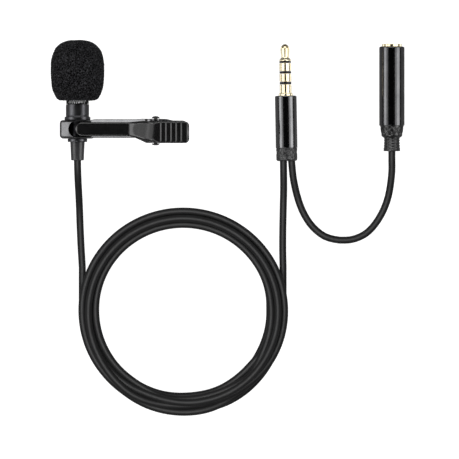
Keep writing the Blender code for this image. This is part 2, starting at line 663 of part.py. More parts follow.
def make_socket(parent):
    """Four-pole socket: bushing, contacts in a moulded body, shell and rubber tail."""
    bushing = [(BUSHING_R - CHAMFER, BUSHING_FRONT), (BUSHING_R, BUSHING_FRONT - CHAMFER),
               (BUSHING_R, BUSHING_BACK), (SOCKET_BORE_R, BUSHING_BACK),
               (SOCKET_BORE_R, BUSHING_FRONT)]
    turned("socket_bushing", GOLD, bushing, parent, loop=True)
    inner = BUSHING_R + 0.15
    shell = [(SOCKET_R - SHELL_CHAMFER, SHELL_FRONT), (SOCKET_R, SHELL_FRONT - SHELL_CHAMFER),
             (SOCKET_R, SHELL_BACK), (inner, SHELL_BACK), (inner, SHELL_FRONT)]
    turned("socket_shell", GLOSS_BLACK, shell, parent, loop=True)
    body_front = BUSHING_BACK - GAP
    body_r = BUSHING_R - 0.1
    body = [(body_r, body_front), (body_r, MOULDING_BACK), (SOCKET_BORE_R, MOULDING_BACK),
            (SOCKET_BORE_R, body_front)]
    moulding = turned("socket_moulding", BLACK_PLASTIC, body, parent, loop=True, steps=RING_STEPS)
    make_contacts(moulding, parent, body_front)
    tail = [(0.0, TAIL_FRONT), (inner - 0.2, TAIL_FRONT), (inner - 0.2, SHELL_BACK - SEAM),
            (3.45, SHELL_BACK - SEAM), (3.08, -10.3), (2.6, -10.8), (2.32, -10.95),
            (2.38, -13.0), (2.5, SOCKET_TAIL + 0.2), (2.3, SOCKET_TAIL), (0.0, SOCKET_TAIL)]
    turned("socket_tail", RUBBER, tail, parent)


def make_contacts(moulding, parent, body_front):
    """Four leaf contacts, each in its own slot of the moulded body and at its own depth."""
    names = ("sleeve", "ring_2", "ring_1", "tip")
    for k, name in enumerate(names):
        front = body_front - 1.2 - CONTACT_PITCH * k
        spin = make_empty("contact_axis_" + name, (0, 0, 0), 0, parent)
        spin.rotation_euler.y = math.radians(45 + 90 * k)
        slot = box("slot_" + name, (2.4, (front + CONTACT_BACK) / 2, 0),
                   (2.4, front - CONTACT_BACK + 2 * GAP, 1.5), spin)
        combine(moulding, slot, "DIFFERENCE")
        leaf = [(2.35, CONTACT_BACK), (2.35, front - 2.0), (1.7, front - 1.0), (2.35, front),
                (2.6, front), (2.0, front - 1.0), (2.6, front - 2.0), (2.6, CONTACT_BACK)]
        slab("socket_contact_" + name, GOLD, leaf, 0.9, spin, side=False)


clear_scene()
parts = make_collection(PART)
cutters = make_collection("cutters")
mic_axis = make_empty("mic_axis", (MIC_X, 0, FOAM_R))
make_windscreen(mic_axis)
make_grille(mic_axis)
make_housing(mic_axis)
make_capsule(mic_axis)
clip_axis = make_empty("clip_axis", (MIC_X, CLIP_Y, FOAM_R))
make_holder(clip_axis)
pin_axis = make_empty("pin_axis", (PIN_X, 0, PIN_Z), parent=clip_axis)
make_lever(pin_axis)
make_pin(pin_axis)
make_spring(pin_axis)
make_lead()
plug_axis = make_empty("plug_axis", (*PLUG_AT, PLUG_SHELL_R + LIFT), PLUG_TURN)
make_plug(plug_axis)
socket_axis = make_empty("socket_axis", (SOCKET_X, 0, SOCKET_R + LIFT))
make_socket(socket_axis)
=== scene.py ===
"""Lavalier microphone on a pale floor: the looks of every visible piece, the lights and the camera.

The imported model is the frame. Lengths are in metres, and those written as a number times MM are in
millimetres. Profiles and outlines of pieces are in millimetres, and the mesh tools scale them.
"""
import math

import bmesh
import bpy
import numpy as np
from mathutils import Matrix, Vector, noise


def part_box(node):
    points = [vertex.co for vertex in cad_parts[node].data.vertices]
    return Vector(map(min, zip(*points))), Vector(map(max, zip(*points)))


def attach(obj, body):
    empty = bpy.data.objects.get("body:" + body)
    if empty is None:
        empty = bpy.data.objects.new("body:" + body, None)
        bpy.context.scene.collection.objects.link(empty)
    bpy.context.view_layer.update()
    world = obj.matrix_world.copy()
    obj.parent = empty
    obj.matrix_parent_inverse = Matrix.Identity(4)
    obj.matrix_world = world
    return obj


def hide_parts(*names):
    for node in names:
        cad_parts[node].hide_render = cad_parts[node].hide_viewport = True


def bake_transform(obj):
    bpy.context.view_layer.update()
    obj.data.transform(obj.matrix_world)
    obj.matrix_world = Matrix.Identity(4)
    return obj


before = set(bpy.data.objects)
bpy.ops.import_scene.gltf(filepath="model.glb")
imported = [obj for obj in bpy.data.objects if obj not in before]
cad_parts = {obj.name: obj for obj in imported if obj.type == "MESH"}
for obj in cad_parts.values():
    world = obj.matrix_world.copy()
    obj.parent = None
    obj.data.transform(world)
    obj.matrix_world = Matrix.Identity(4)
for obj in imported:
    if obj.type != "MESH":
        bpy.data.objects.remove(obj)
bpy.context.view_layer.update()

MM = 0.001


# ---------------------------------------------------------------- placing pieces

def middle(node):
    """Centre of a CAD node's box."""
    low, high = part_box(node)
    return (low + high) / 2


MIC = Vector((middle("mic_housing").x, 0.0, middle("mic_housing").z))
CLIP = Vector((MIC.x, -8.55 * MM, MIC.z))  # middle of the clip's ring
HINGE = middle("clip_pin")
HINGE.y = CLIP.y
PLUG_TILT = math.radians(1.0)
PLUG_TIP = Vector((48.4 * MM, 16.62 * MM, middle("plug_shell").z))
PLUG_BACKWARD = Vector((math.sin(PLUG_TILT), -math.cos(PLUG_TILT), 0.0))
SOCKET = Vector((middle("socket_shell").x, 0.0, middle("socket_shell").z))
ALONG_Y = Vector((0.0, 1.0, 0.0))


# ---------------------------------------------------------------- camera

FRAME_WIDTH = 135.0 * MM  # width of the view at the middle of the object's height
CAMERA_AT = (32.12 * MM, -37.94 * MM)
MIDDLE_HEIGHT = 4.0 * MM
LENS = 500.0
SENSOR = 36.0


def make_camera():
    data = bpy.data.cameras.new("camera")
    data.lens = LENS
    data.sensor_width = SENSOR
    data.clip_end = 20.0
    camera = bpy.data.objects.new("camera", data)
    camera.location = (*CAMERA_AT, MIDDLE_HEIGHT + FRAME_WIDTH * LENS / SENSOR)
    bpy.context.scene.collection.objects.link(camera)
    bpy.context.scene.camera = camera


# ---------------------------------------------------------------- cords

CABLE = 2.1 * MM  # diameter
SPACING = 2.0 * MM  # between the middles of strands that touch: soft rubber gives a little
FLOOR_LINE = 1.05 * MM  # height of a cable's middle where it lies on the floor
COIL_CENTRE = middle("cable_coil")
COIL_R = 27.75 * MM
COIL_FLATNESS = 0.984  # the coil is a little less high than wide in the view
COIL_STATIONS = 120  # points in one turn
COIL_START = 156.4  # degrees round the coil where the microphone's lead meets it
COIL_STEPS = 1036  # stations from there to the plug's lead
LEAD_IN = 29.78 * MM  # how far left of the coil's middle the microphone's lead comes down
LEAD_IN_END = 180.0  # degrees, where that straight stretch ends
LEAD_OUT = 29.37 * MM  # how far right of it the plug's lead goes up
LEAD_OUT_SPAN = 24.4  # degrees of the last turn along that straight stretch
CHANGE_AT = 296.0  # degrees, middle of the stretch where each strand moves one place on
CHANGE_OVER = 200.0  # degrees that such a move takes
WANDER = 3.6 * MM  # random sideways shift of a strand, before it is smoothed
WANDER_SPAN = 121  # stations that it is smoothed over
SETTLING_ROUNDS = 600

MIC_RUN = [
    (-0.01250, -0.01752, 0.00785), (-0.01245, -0.02050, 0.00760), (-0.01235, -0.02400, 0.00620),
    (-0.01220, -0.02750, 0.00420), (-0.01205, -0.03150, 0.00220), (-0.01190, -0.03650, 0.00115),
    (-0.01162, -0.04280, 0.00102), (-0.01125, -0.04900, 0.00102)]
PLUG_RUN = [
    (0.04799, -0.01750, 0.00317), (0.04804, -0.02200, 0.00275), (0.04806, -0.02630, 0.00175),
    (0.04797, -0.03070, 0.00115), (0.04782, -0.03810, 0.00102), (0.04780, -0.04400, 0.00102),
    (0.04790, -0.04870, 0.00102)]
PIGTAIL = [
    (0.05036, -0.01750, 0.00317), (0.05091, -0.02290, 0.00265), (0.05218, -0.02850, 0.00150),
    (0.05388, -0.03300, 0.00110), (0.05641, -0.03690, 0.00102), (0.05979, -0.03976, 0.00102),
    (0.06318, -0.04088, 0.00102), (0.06597, -0.04109, 0.00102), (0.06879, -0.04074, 0.00102),
    (0.07218, -0.03920, 0.00102), (0.07497, -0.03640, 0.00105), (0.07750, -0.03215, 0.00115),
    (0.07906, -0.02740, 0.00170), (0.07985, -0.02150, 0.00290), (0.07988, -0.01760, 0.00355),
    (0.07988, -0.01474, 0.00371)]


def smooth_route(knots, spacing):
    """Evenly spaced points on a smooth (Catmull-Rom) curve through the knots."""
    knots = [Vector(k) for k in knots]
    ends = [2 * knots[0] - knots[1], *knots, 2 * knots[-1] - knots[-2]]
    fine = []
    for a, b, c, d in zip(ends, ends[1:], ends[2:], ends[3:]):
        for t in np.arange(0.0, 1.0, 0.05):
            fine.append(0.5 * (2 * b + (c - a) * t + (2 * a - 5 * b + 4 * c - d) * t ** 2
                               + (3 * b - a - 3 * c + d) * t ** 3))
    fine = np.array([*fine, knots[-1]])
    reach = np.concatenate([[0.0], np.cumsum(np.linalg.norm(np.diff(fine, axis=0), axis=1))])
    wanted = np.linspace(0.0, reach[-1], max(2, round(reach[-1] / spacing)) + 1)
    return np.column_stack([np.interp(wanted, reach, fine[:, k]) for k in range(3)])


def wind_coil():
    """Path of the coiled stretch, hand wound: each strand keeps clear of all the others.

    A strand's place in the bundle is (outward from the middle radius, height of its middle). The
    lead enters in the outer place next to the floor, moves one place on in each turn, and ends in
    that same place, so it leaves under the outer strands.
    """
    row = 1.73 * MM
    low, second, third, top = [FLOOR_LINE + row * k for k in range(4)]
    outer = (2.05 * MM, low)
    places = np.array([outer, (0.0, low), (-2.05 * MM, low), (-1.0 * MM, second),
                       (-2.0 * MM, third), (0.0, third), (1.0 * MM, top), (2.0 * MM, third),
                       (1.05 * MM, second), outer])
    angles = COIL_START + np.arange(COIL_STEPS + 1) * 360 / COIL_STATIONS
    turn = np.floor((angles - CHANGE_AT) / 360 + 0.5).astype(int)
    share = np.clip((angles - CHANGE_AT - 360 * turn) / CHANGE_OVER + 0.5, 0, 1)
    share = (share ** 2 * (3 - 2 * share))[:, None]
    strand = places[turn] * (1 - share) + places[turn + 1] * share
    window = np.hanning(WANDER_SPAN) / np.hanning(WANDER_SPAN).sum()
    random = np.random.default_rng(3)
    for axis in range(2):
        noisy = random.normal(0.0, WANDER, COIL_STEPS + 1)
        strand[:, axis] += np.convolve(noisy, window, "same")
    entering = angles <= LEAD_IN_END
    leaving = angles >= angles[-1] - LEAD_OUT_SPAN
    strand[entering, 0] = LEAD_IN / -np.cos(np.radians(angles[entering])) - COIL_R
    strand[leaving, 0] = LEAD_OUT / np.cos(np.radians(angles[leaving])) - COIL_R
    held = entering | leaving
    strand[held, 1] = FLOOR_LINE
    settle(strand, held)
    radius = COIL_R + strand[:, 0]
    around = np.radians(angles)
    return np.column_stack([COIL_CENTRE.x + radius * np.cos(around),
                            COIL_CENTRE.y + COIL_FLATNESS * radius * np.sin(around), strand[:, 1]])


def settle(strand, held):
    """Let the strands straighten, draw together, sink and push each other apart in small steps."""
    stiffness = 0.25
    drawn_in = 0.994
    sinking = 0.004 * MM
    held_at = strand[held].copy()
    for _ in range(SETTLING_ROUNDS):
        strand[1:-1] += stiffness * (strand[:-2] + strand[2:] - 2 * strand[1:-1])
        strand[:, 0] *= drawn_in
        strand[:, 1] -= sinking
        for _ in range(3):
            strand += 0.7 * pushed_apart(strand)
            strand[:, 1] = np.maximum(strand[:, 1], FLOOR_LINE)
            strand[held] = held_at


def pushed_apart(strand):
    """How far each point must move so that the turns beside it are a diameter away."""
    move = np.zeros_like(strand)
    for turns in range(1, COIL_STEPS // COIL_STATIONS + 1):
        step = COIL_STATIONS * turns
        between = strand[step:] - strand[:-step]
        apart = np.linalg.norm(between, axis=1)
        push = np.clip(SPACING - apart, 0, None) / 2 / np.maximum(apart, 1e-9)
        move[:-step] -= push[:, None] * between
        move[step:] += push[:, None] * between
    return move


def make_cord(name, points, look):
    curve = bpy.data.curves.new(name, "CURVE")
    curve.dimensions = "3D"
    curve.bevel_depth = CABLE / 2
    curve.bevel_resolution = 6
    curve.use_fill_caps = True
    spline = curve.splines.new("POLY")
    spline.points.add(len(points) - 1)
    for point, place in zip(spline.points, points):
        point.co = (*place, 1)
    spline.use_smooth = True
    curve.materials.append(look)
    cord = bpy.data.objects.new(name, curve)
    bpy.context.scene.collection.objects.link(cord)
    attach(cord, "microphone")
    return cord


def make_cords(rubber):
    """The lead, from the microphone round the coil to the plug, and its branch to the socket."""
    leading = smooth_route(MIC_RUN, 1.5 * MM)
    ending = smooth_route(PLUG_RUN, 1.5 * MM)[::-1]
    coiled = wind_coil()
    lead = np.concatenate([leading[:-1], coiled, ending[1:]])
    cord = make_cord("lead_cord", lead, rubber)
    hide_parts("cable_mic_lead", "cable_coil", "cable_plug_lead")
    branch = smooth_route(PIGTAIL, 1.5 * MM)
    cord = make_cord("pigtail_cord", branch, rubber)
    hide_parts("cable_pigtail")


# ---------------------------------------------------------------- floor and lights

GOLD_PIECES = ("tip_contact", "pole_ring_1", "pole_ring_2", "sleeve_contact", "gold_bushing")


def make_floor():
    """Plain pale floor that throws no light back on the pieces."""
    bpy.ops.mesh.primitive_plane_add(size=4.0)
    floor = bpy.context.object
    floor.name = "floor"
    material = bpy.data.materials.new("pale_floor")
    material.use_nodes = True
    shader = material.node_tree.nodes["Principled BSDF"]
    shader.inputs["Base Color"].default_value = (0.4, 0.4, 0.4, 1)
    shader.inputs["Roughness"].default_value = 1.0
    shader.inputs["Specular IOR Level"].default_value = 0.0
    shader.inputs["Emission Color"].default_value = (1, 1, 1, 1)
    shader.inputs["Emission Strength"].default_value = 1.0
    floor.visible_glossy = False
    floor.visible_diffuse = False
    floor.data.materials.append(material)


def make_softbox(name, angle, azimuth, distance, size, power, glossy=True):
    """Area light seen from the object at an angle from straight up, towards an azimuth."""
    data = bpy.data.lights.new(name, "AREA")
    data.shape = "RECTANGLE"
    data.size, data.size_y = size
    data.energy = power
    light = bpy.data.objects.new(name, data)
    up = math.cos(math.radians(angle))
    out = math.sin(math.radians(angle))
    bearing = math.radians(azimuth)
    towards = Vector((out * math.cos(bearing), out * math.sin(bearing), up))
    light.location = Vector((*CAMERA_AT, 0)) + towards * distance
    light.rotation_euler = towards.to_track_quat("Z", "Y").to_euler()
    light.visible_camera = False
    light.visible_glossy = glossy
    bpy.context.scene.collection.objects.link(light)
    return light


def link_light(light, pieces, state):
    """EXCLUDE keeps a light off some pieces, and INCLUDE keeps it on them alone."""
    group = bpy.data.collections.new(light.name + "_pieces")
    for piece in pieces:
        group.objects.link(piece)
    for member in group.collection_objects:
        member.light_linking.link_state = state
    light.light_linking.receiver_collection = group


def make_lights():
    """Soft lights that give each round piece its bright lines; some reach only some pieces."""
    make_softbox("left_softbox", 64, 180, 0.7, (0.9, 0.3), 1.6)
    make_softbox("left_glow", 44, 180, 0.7, (0.9, 0.25), 0.46)
    make_softbox("right_softbox", 62, 0, 0.7, (0.9, 0.3), 1.7)
    make_softbox("right_glow", 42, 0, 0.7, (0.9, 0.25), 0.64)
    make_softbox("far_softbox", 55, 90, 0.8, (0.7, 0.35), 2.0)
    make_softbox("near_softbox", 55, -111, 0.8, (0.4, 0.35), 1.3)
    make_softbox("top_light", 0, 0, 1.2, (0.8, 0.8), 1.4, glossy=False)
    cords = [bpy.data.objects["lead_cord"], bpy.data.objects["pigtail_cord"]]
    barrel = bpy.data.objects["housing_barrel"]
    for light in [o for o in bpy.data.objects if o.type == "LIGHT"]:
        link_light(light, cords + [barrel] * (light.name == "right_glow"), "EXCLUDE")
    link_light(make_softbox("cord_light", 8, 180, 1.2, (0.8, 0.8), 12), cords, "INCLUDE")
    gold = [bpy.data.objects[name] for name in GOLD_PIECES]
    for side, azimuth, power in (("left", 180, 1.35), ("right", 0, 1.6)):
        high = make_softbox(side + "_gold_light", 30, azimuth, 0.7, (0.9, 0.32), power)
        low = make_softbox(side + "_low_gold_light", 120, azimuth, 0.7, (0.9, 0.5), power)
        link_light(high, gold, "INCLUDE")
        link_light(low, gold, "INCLUDE")
    lever = [bpy.data.objects["front_lever"]]
    link_light(make_softbox("flare_light", 30, 180, 0.7, (0.9, 0.22), 0.5), lever, "INCLUDE")


def make_world():
    """Dark sky over a pale horizon, which the sides of the shells reflect."""
    world = bpy.data.worlds.new("studio")
    world.use_nodes = True
    tree = world.node_tree
    place = tree.nodes.new("ShaderNodeTexCoord")
    split = tree.nodes.new("ShaderNodeSeparateXYZ")
    connect(tree, place.outputs["Generated"], split.inputs["Vector"])
    level = range_node(tree, split.outputs["Z"], 0.22, 0.005, (-0.05, 0.1))
    connect(tree, level, tree.nodes["Background"].inputs["Strength"])
    tree.nodes["Background"].inputs["Color"].default_value = (1, 1, 1, 1)
    bpy.context.scene.world = world


# ---------------------------------------------------------------- materials

def connect(tree, source, target):
    tree.links.new(source, target)


def noise_node(tree, place, scale, detail=3.0, roughness=0.55):
    node = tree.nodes.new("ShaderNodeTexNoise")
    node.inputs["Scale"].default_value = scale
    node.inputs["Detail"].default_value = detail
    node.inputs["Roughness"].default_value = roughness
    connect(tree, place, node.inputs["Vector"])
    return node.outputs["Fac"]


def ramp_node(tree, factor, stops):
    """Colour ramp: stops are (position, grey level or colour)."""
    node = tree.nodes.new("ShaderNodeValToRGB")
    elements = node.color_ramp.elements
    while len(elements) < len(stops):
        elements.new(0.5)
    for element, (position, colour) in zip(elements, stops):
        element.position = position
        element.color = (*colour, 1)
    connect(tree, factor, node.inputs["Fac"])
    return node.outputs["Color"]


def range_node(tree, value, low, high, source=(0.3, 0.7)):
    node = tree.nodes.new("ShaderNodeMapRange")
    node.inputs["From Min"].default_value = source[0]
    node.inputs["From Max"].default_value = source[1]
    node.inputs["To Min"].default_value = low
    node.inputs["To Max"].default_value = high
    connect(tree, value, node.inputs["Value"])
    return node.outputs["Result"]


def make_look(name, dark, light, rough, metallic=0.0, specular=0.5, patches=300.0, grain=6000.0,
              stretch=(1, 1, 1), depth=0.004, coat=0.0):
    """Material whose colour, roughness and fine relief all vary over the surface.

    patches and grain are the scales of the broad and the fine variation, in cycles a metre;
    depth is the height of the fine relief in millimetres.
    """
    material = bpy.data.materials.new(name)
    material.use_nodes = True
    tree = material.node_tree
    shader = tree.nodes["Principled BSDF"]
    shader.inputs["Metallic"].default_value = metallic
    shader.inputs["Specular IOR Level"].default_value = specular
    shader.inputs["Coat Weight"].default_value = coat
    shader.inputs["Coat Roughness"].default_value = 0.06
    place = tree.nodes.new("ShaderNodeTexCoord")
    mapping = tree.nodes.new("ShaderNodeMapping")
    mapping.inputs["Scale"].default_value = stretch
    connect(tree, place.outputs["Object"], mapping.inputs["Vector"])
    broad = noise_node(tree, mapping.outputs["Vector"], patches)
    fine = noise_node(tree, mapping.outputs["Vector"], grain, 4.0)
    connect(tree, ramp_node(tree, broad, [(0.3, dark), (0.7, light)]), shader.inputs["Base Color"])
    connect(tree, range_node(tree, fine, *rough), shader.inputs["Roughness"])
    bump = tree.nodes.new("ShaderNodeBump")
    bump.inputs["Strength"].default_value = 1.0
    bump.inputs["Distance"].default_value = depth * MM
    connect(tree, fine, bump.inputs["Height"])
    connect(tree, bump.outputs["Normal"], shader.inputs["Normal"])
    return material


def make_foam_look():
    """Open-cell foam whose colour holds painted shade: the deeper the mesh's own pore at a point, the
    darker it is painted, so the rims between pores read lighter.
    """
    material = make_look("foam_look", (0.010, 0.010, 0.011), (0.022, 0.022, 0.024), (0.8, 1.0),
                         specular=0.12, patches=900.0, grain=9000.0, depth=0.03)
    tree = material.node_tree
    shader = tree.nodes["Principled BSDF"]
    pore = tree.nodes.new("ShaderNodeAttribute")
    pore.attribute_name = "pore"
    speckle = noise_node(tree, tree.nodes["Mapping"].outputs["Vector"], 2600.0, 2.0)
    # painted shade: near black deep in the pores, lighter grey on the rims between them
    pore_shade = ramp_node(tree, pore.outputs["Fac"],
                      [(0.2, (0.055, 0.055, 0.058)), (0.65, (0.001, 0.001, 0.0012))])
    chips = ramp_node(tree, speckle, [(0.45, (0.25, 0.25, 0.25)), (0.7, (1.5, 1.5, 1.55))])
    mix = tree.nodes.new("ShaderNodeMix")
    mix.data_type = "RGBA"
    mix.blend_type = "MULTIPLY"
    mix.inputs["Factor"].default_value = 1.0
    connect(tree, pore_shade, mix.inputs["A"])
    connect(tree, chips, mix.inputs["B"])
    connect(tree, mix.outputs["Result"], shader.inputs["Base Color"])
    return material


def make_looks():
    return {
        "foam": make_foam_look(),
        "satin": make_look("satin_black_look", (0.12, 0.12, 0.13), (0.16, 0.16, 0.17), (0.30, 0.42),
                           metallic=1.0, patches=700, grain=9000, depth=0.002),
        "gloss": make_look("gloss_black_look", (0.20, 0.20, 0.205), (0.25, 0.25, 0.255),
                           (0.12, 0.20), metallic=1.0, grain=4000, depth=0.0003),
        "gloss_socket": make_look("socket_black_look", (0.14, 0.14, 0.145), (0.18, 0.18, 0.185),
                                  (0.12, 0.20), metallic=1.0, grain=4000, depth=0.0003),
        "clip": make_look("clip_black_look", (0.006, 0.006, 0.006), (0.010, 0.010, 0.0105),
                          (0.14, 0.22), coat=0.3, specular=0.85, patches=500, grain=5000, depth=0.0004),
        "holder": make_look("holder_black_look", (0.17, 0.17, 0.175), (0.22, 0.22, 0.225),
                            (0.22, 0.30), metallic=1.0, patches=500, grain=9000, depth=0.002),
        "steel": make_look("steel_look", (0.5, 0.5, 0.51), (0.7, 0.7, 0.71), (0.25, 0.4),
                           metallic=1.0, grain=9000, depth=0.002),
        # near black and barely shiny: painted shade for the groove under the head
        "groove_shade": make_look("groove_shade_look", (0.004, 0.004, 0.004), (0.010, 0.010, 0.010),
                                (0.5, 0.65), specular=0.2, depth=0.003),
        "gold": make_look("gold_look", (0.95, 0.80, 0.50), (1.0, 0.92, 0.68), (0.14, 0.22),
                          metallic=1.0, patches=400, grain=4000, depth=0.0004),
        "rubber": make_look("rubber_look", (0.016, 0.016, 0.0165), (0.022, 0.022, 0.0225),
                            (0.45, 0.58), specular=0.4, patches=250, grain=5200, depth=0.006),
        "sleeve": make_look("sleeve_look", (0.03, 0.03, 0.032), (0.045, 0.045, 0.048), (0.28, 0.4),
                            specular=1.0, patches=600, grain=7000, depth=0.004),
        "boot": make_look("boot_look", (0.030, 0.030, 0.031), (0.040, 0.040, 0.041),
                          (0.25, 0.38), specular=1.0, patches=900, grain=6000, depth=0.006),
        "tail": make_look("tail_look", (0.012, 0.012, 0.0125), (0.016, 0.016, 0.0165),
                          (0.22, 0.34), specular=1.0, patches=900, grain=6000, depth=0.006),
        "plastic": make_look("plastic_look", (0.008, 0.008, 0.009), (0.014, 0.014, 0.015),
                             (0.3, 0.45), grain=6000, depth=0.004),
        "felt": make_look("felt_look", (0.12, 0.12, 0.13), (0.3, 0.3, 0.31), (0.85, 1.0),
                          patches=2500, grain=9000, depth=0.05),
        "board": make_look("board_look", (0.01, 0.09, 0.035), (0.02, 0.2, 0.07), (0.25, 0.45),
                           patches=1800, grain=4000, depth=0.006),
        "copper": make_look("copper_look", (0.62, 0.26, 0.13), (0.8, 0.4, 0.22), (0.25, 0.4),
                            metallic=1.0, grain=5000, depth=0.003),
    }


# ---------------------------------------------------------------- mesh tools

def add_mesh(name, vertices, faces, look, smooth_angle=35):
    mesh = bpy.data.meshes.new(name)
    mesh.from_pydata([tuple(v) for v in vertices], [], faces)
    work = bmesh.new()
    work.from_mesh(mesh)
    bmesh.ops.recalc_face_normals(work, faces=work.faces)
    work.to_mesh(mesh)
    work.free()
    mesh.shade_smooth()
    mesh.set_sharp_from_angle(angle=math.radians(smooth_angle))
    mesh.materials.append(look)
    piece = bpy.data.objects.new(name, mesh)
    bpy.context.scene.collection.objects.link(piece)
    return piece


def dress(piece, body, slot, *nodes):
    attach(piece, body)
    if nodes:
        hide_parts(*nodes)
    return piece


def softened(outline, radius, closed=False, steps=4):
    """Outline with every real corner turned into a short curve."""
    points = [np.array(p, float) for p in outline]
    soft = []
    last = len(points) - 1
    for i, here in enumerate(points):
        if not closed and i in (0, last):
            soft.append(here)
            continue
        back = points[i - 1] - here
        ahead = points[(i + 1) % len(points)] - here
        back_length = np.linalg.norm(back)
        ahead_length = np.linalg.norm(ahead)
        straightness = -np.dot(back, ahead) / (back_length * ahead_length)
        if straightness > 0.97:
            soft.append(here)
            continue
        reach = min(radius, 0.45 * back_length, 0.45 * ahead_length)
        start = here + back / back_length * reach
        end = here + ahead / ahead_length * reach
        for t in np.linspace(0, 1, steps + 1):
            soft.append((1 - t) ** 2 * start + 2 * t * (1 - t) * here + t ** 2 * end)
    return soft


def dense(outline, spacing):
    """The same outline with more points along its straight stretches."""
    points = [np.array(outline[0], float)]
    for target in outline[1:]:
        start = points[-1]
        target = np.array(target, float)
        count = max(1, math.ceil(np.linalg.norm(target - start) / spacing))
        for k in range(1, count + 1):
            points.append(start + (target - start) * k / count)
    return points


def turned(name, profile, at, along, look, closed=False, steps=128, relief=None, smooth_angle=35):
    """Piece turned about a line from (radius, distance along it) points in millimetres.

    relief(angle, radius, distance) gives a change of radius, for knurls and ridges.
    """
    along = Vector(along).normalized()
    side = along.cross(Vector((1, 0, 0) if abs(along.z) > 0.9 else (0, 0, 1))).normalized()
    up = side.cross(along)
    vertices = []
    rings = []
    for radius, distance in profile:
        centre = Vector(at) + along * distance * MM
        if radius < 1e-6:
            rings.append([len(vertices)] * steps)
            vertices.append(centre)
            continue
        rings.append(range(len(vertices), len(vertices) + steps))
        for k in range(steps):
            angle = 2 * math.pi * k / steps
            r = radius + (relief(angle, radius, distance) if relief else 0.0)
            vertices.append(centre + (side * math.cos(angle) + up * math.sin(angle)) * r * MM)
    faces = []
    pairs = list(zip(rings, rings[1:]))
    if closed:
        pairs.append((rings[-1], rings[0]))
    for a, b in pairs:
        for k in range(steps):
            m = (k + 1) % steps
            corners = [a[k], a[m], b[m], b[k]]
            face = [c for n, c in enumerate(corners) if c != corners[n - 1]]
            if len(face) > 2:
                faces.append(face)
    return add_mesh(name, vertices, faces, look, smooth_angle)


def tube(name, points, radius, look, sides=14):
    """Closed round wire along points in metres."""
    points = [Vector(p) for p in points]
    side = (points[1] - points[0]).orthogonal().normalized()
    vertices = []
    for i, point in enumerate(points):
        ahead = points[min(i + 1, len(points) - 1)] - points[max(i - 1, 0)]
        ahead.normalize()
        side = (side - ahead * side.dot(ahead)).normalized()
        up = ahead.cross(side)
        for k in range(sides):
            angle = 2 * math.pi * k / sides
            vertices.append(point + (side * math.cos(angle) + up * math.sin(angle)) * radius)
    faces = []
    for i in range(len(points) - 1):
        for k in range(sides):
            m = (k + 1) % sides
            faces.append([i * sides + k, i * sides + m, (i + 1) * sides + m, (i + 1) * sides + k])
    last = (len(points) - 1) * sides
    faces.append(list(range(sides)))
    faces.append(list(range(last, last + sides)))
    return add_mesh(name, vertices, faces, look)


def loft(name, sections, look, smooth_angle=35):
    """Closed body through sections that all have the same number of points."""
    count = len(sections[0])
    vertices = [v for section in sections for v in section]
    faces = []
    for i in range(len(sections) - 1):
        for k in range(count):
            m = (k + 1) % count
            faces.append([i * count + k, i * count + m, (i + 1) * count + m, (i + 1) * count + k])
    last = (len(sections) - 1) * count
    faces.append(list(range(count)))
    faces.append(list(range(last, last + count)))
    return add_mesh(name, vertices, faces, look, smooth_angle)


def plate(name, outline, middle_y, thickness, look, edge=0.1):
    """Flat plate in a plane of constant y, from an (x, z) outline about the clip's origin."""
    corner = [(thickness / 2 - edge + edge * math.sin(a), edge * (1 - math.cos(a)))
              for a in np.radians(np.arange(0, 91, 15))]
    layers = [(-y, inset) for y, inset in reversed(corner)] + corner
    points = np.array(outline, float)
    ahead = np.roll(points, -1, axis=0) - np.roll(points, 1, axis=0)
    ahead /= np.linalg.norm(ahead, axis=1)[:, None]
    inward = np.column_stack([-ahead[:, 1], ahead[:, 0]])
    x, z = points.T
    area = 0.5 * np.sum(x * np.roll(z, -1) - z * np.roll(x, -1))
    inward *= np.sign(area)
    sections = []
    for y, inset in layers:
        ring = points + inward * inset
        sections.append([clip_place(x, middle_y + y, z) for x, z in ring])
    return loft(name, sections, look)


def clip_place(x, y, z):
    """World place of a point given in millimetres from the clip ring's middle."""
    return CLIP + Vector((x, y, z)) * MM


def arc(x, y, radius, start, end, steps):
    """Points on an arc between two angles in degrees."""
    angles = [math.radians(start + (end - start) * k / steps) for k in range(steps + 1)]
    return [(x + radius * math.cos(a), y + radius * math.sin(a)) for a in angles]


def carve(piece, tool, operation="DIFFERENCE"):
    """Cut, join or intersect a piece with a tool, which is used up."""
    modifier = piece.modifiers.new("carve", "BOOLEAN")
    modifier.operation = operation
    modifier.solver = "EXACT"
    modifier.object = tool
    bpy.context.view_layer.update()
    ready = piece.evaluated_get(bpy.context.evaluated_depsgraph_get())
    mesh = bpy.data.meshes.new_from_object(ready)
    piece.modifiers.clear()
    piece.data = mesh
    bpy.data.objects.remove(tool)


def block(name, centre, size, look):
    """Rectangular cutter about the clip's origin, in millimetres."""
    work = bmesh.new()
    bmesh.ops.create_cube(work, size=MM)
    bmesh.ops.scale(work, vec=Vector(size), verts=work.verts)
    mesh = bpy.data.meshes.new(name)
    bmesh.ops.translate(work, vec=clip_place(*centre), verts=work.verts)
    work.to_mesh(mesh)
    work.free()
    mesh.materials.append(look)
    piece = bpy.data.objects.new(name, mesh)
    bpy.context.scene.collection.objects.link(piece)
    return piece


# ---------------------------------------------------------------- windscreen

